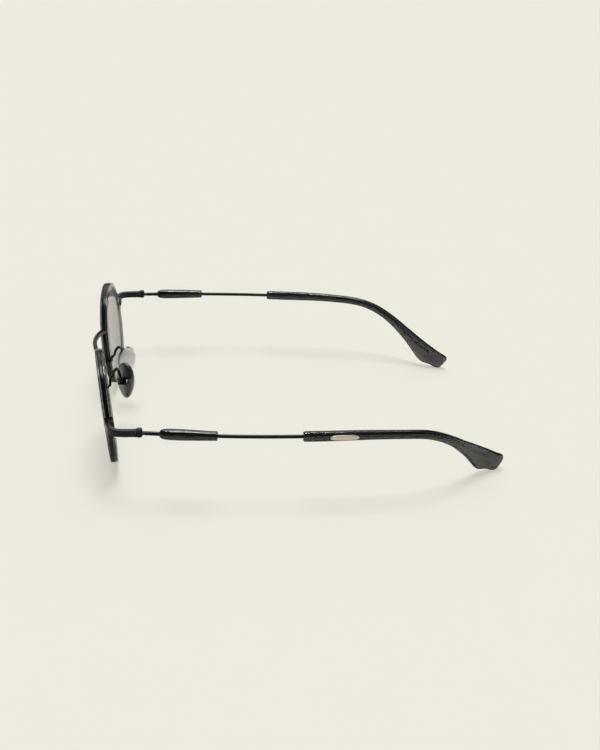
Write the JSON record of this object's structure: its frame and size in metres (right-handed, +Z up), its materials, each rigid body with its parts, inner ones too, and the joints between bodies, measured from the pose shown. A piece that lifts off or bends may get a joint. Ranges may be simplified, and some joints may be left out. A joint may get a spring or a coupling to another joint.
{
  "type": "round eyeglasses",
  "caption": "Round eyeglasses: metal-wired acetate rims with dark-tinted lenses, bowed bridge, adjustable nose pads and folding wire temples with acetate sleeves and paddle tips.",
  "frame": {"origin": "on the table, under the middle of the bounding box; the rims' lower edges and the two temple tips stand on Z = 0", "axes": "+X to the wearer's left across the front, +Y from the front back along the open temples, +Z up from the table; the glasses are mirror images across X = 0"},
  "size_m": [0.1298, 0.1524, 0.0408],
  "materials": {
    "black_metal": "gloss",
    "smoke_acetate": "polished translucent",
    "lens_glass": "polished, tinted",
    "pad_silicone": "smooth translucent",
    "bright_steel": "bright",
    "satin_silver": "satin"
  },
  "bodies": {
    "front": {"left_rim_ring": "smoke_acetate", "right_rim_ring": "smoke_acetate", "left_eyewire": "black_metal", "right_eyewire": "black_metal", "left_lens": "lens_glass", "right_lens": "lens_glass", "left_endpiece": "black_metal", "right_endpiece": "black_metal", "left_rim_lock": "black_metal", "right_rim_lock": "black_metal", "left_lock_screw": "black_metal", "right_lock_screw": "black_metal", "left_hinge_screw": "black_metal", "right_hinge_screw": "black_metal", "left_pad_arm": "black_metal", "right_pad_arm": "black_metal", "left_pad_box": "black_metal", "right_pad_box": "black_metal", "left_pad_screw": "bright_steel", "right_pad_screw": "bright_steel", "bridge": "black_metal"},
    "left_temple": {"left_temple_wire": "black_metal", "left_sleeve": "smoke_acetate", "left_tip": "smoke_acetate", "left_plaque": "satin_silver"},
    "right_temple": {"right_temple_wire": "black_metal", "right_sleeve": "smoke_acetate", "right_tip": "smoke_acetate", "right_plaque": "satin_silver"},
    "left_pad": {"left_pad_plate": "black_metal", "left_pad_stem": "bright_steel", "left_nose_pad": "pad_silicone"},
    "right_pad": {"right_pad_plate": "black_metal", "right_pad_stem": "bright_steel", "right_nose_pad": "pad_silicone"}
  },
  "joints": [
    {"name": "left_temple_fold", "type": "hinge", "parent": "front", "child": "left_temple", "pos_m": [0.0613, -0.0583, 0.02563], "axis": [0, 0, 1], "range_deg": [0, 88.5]},
    {"name": "right_temple_fold", "type": "hinge", "parent": "front", "child": "right_temple", "pos_m": [-0.0613, -0.0583, 0.02563], "axis": [0, 0, -1], "range_deg": [0, 83]},
    {"name": "left_pad_rock", "type": "hinge", "parent": "front", "child": "left_pad", "pos_m": [0.0099, -0.06475, 0.01917], "axis": [0.5814, 0.7731, 0.2536], "range_deg": [-10, 10]},
    {"name": "right_pad_rock", "type": "hinge", "parent": "front", "child": "right_pad", "pos_m": [-0.0099, -0.06475, 0.01917], "axis": [-0.5814, 0.7731, 0.2536], "range_deg": [-10, 10]}
  ]
}
